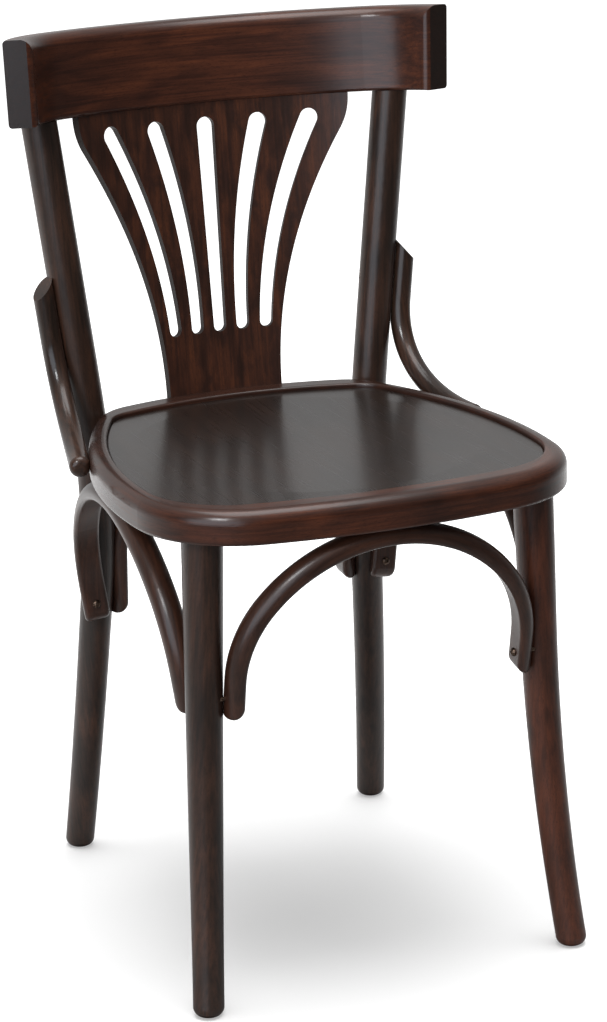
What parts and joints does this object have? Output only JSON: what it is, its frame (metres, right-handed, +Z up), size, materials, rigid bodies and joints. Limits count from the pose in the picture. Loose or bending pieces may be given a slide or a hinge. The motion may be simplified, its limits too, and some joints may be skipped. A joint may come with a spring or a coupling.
{
  "type": "bentwood bistro chair",
  "caption": "Bentwood side chair with a rounded panel seat, fan splat under a curved crest rail, splayed round legs, bent arches and hip braces.",
  "frame": {"origin": "centre of the chair's bounding box in plan, at floor level", "axes": "+X to the right of the chair seen from the front, +Y towards the back, +Z up; the front edge of the seat faces -Y"},
  "size_m": [0.4376, 0.4789, 0.8183],
  "materials": {
    "stained_beech": "satin lacquer over dark walnut stain",
    "seat_ply": "glossy lacquer over dark walnut stain",
    "screw_steel": "browned steel",
    "bolt_steel": "browned steel"
  },
  "bodies": {
    "root": {"seat_ring": "stained_beech", "front_leg_left": "stained_beech", "front_leg_right": "stained_beech", "rear_leg_left": "stained_beech", "rear_leg_right": "stained_beech", "crest_rail": "stained_beech", "back_splat": "stained_beech", "hip_brace_left": "stained_beech", "hip_brace_right": "stained_beech", "front_arch": "stained_beech", "side_arch_left": "stained_beech", "side_arch_right": "stained_beech", "rear_arch": "stained_beech", "seat_panel": "seat_ply", "arch_leg_screws": "screw_steel", "arch_ring_screws": "screw_steel", "brace_post_screws": "screw_steel", "brace_ring_screws": "screw_steel", "splat_screws": "screw_steel", "panel_screws": "screw_steel", "rear_leg_bolts": "bolt_steel", "rear_leg_washers": "bolt_steel", "rear_leg_nuts": "bolt_steel"}
  },
  "joints": []
}
